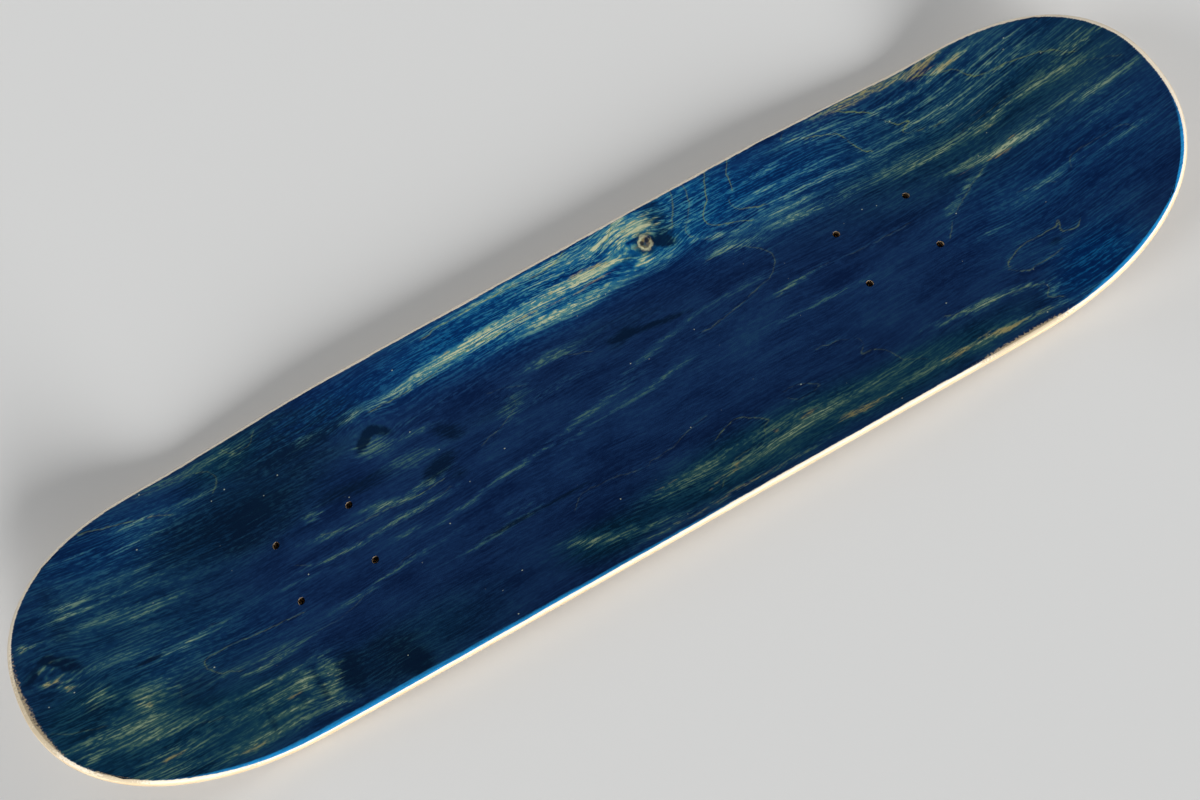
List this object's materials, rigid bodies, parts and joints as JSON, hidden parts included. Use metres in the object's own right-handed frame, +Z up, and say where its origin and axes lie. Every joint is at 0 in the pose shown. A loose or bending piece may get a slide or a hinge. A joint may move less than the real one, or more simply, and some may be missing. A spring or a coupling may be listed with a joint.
{
  "type": "skateboard deck",
  "caption": "Bare skateboard deck with two round ends, pressed from maple veneers, stained blue on the riding side, with upturned nose and tail, concave rails and drilled truck bolt holes.",
  "frame": {"origin": "middle of the deck's length and width, in the plane of its flat belly", "axes": "+X along the deck towards the nose, +Y across it towards the left rail, +Z up out of the riding side"},
  "size_m": [0.8142, 0.2112, 0.0588],
  "materials": {
    "stained_blue_maple": "deep blue stain that shows the grain, under a clear satin-gloss lacquer",
    "long_grain_maple": "bare sanded edge of maple veneer, grain along the deck",
    "cross_grain_maple": "bare sanded edge of maple veneer, grain across the deck",
    "clear_finished_maple": "natural maple under a clear satin lacquer"
  },
  "bodies": {
    "root": {"top_face_ply": "stained_blue_maple", "upper_long_ply": "long_grain_maple", "upper_cross_ply": "cross_grain_maple", "core_ply": "long_grain_maple", "lower_cross_ply": "cross_grain_maple", "lower_long_ply": "long_grain_maple", "bottom_face_ply": "clear_finished_maple"}
  },
  "joints": []
}
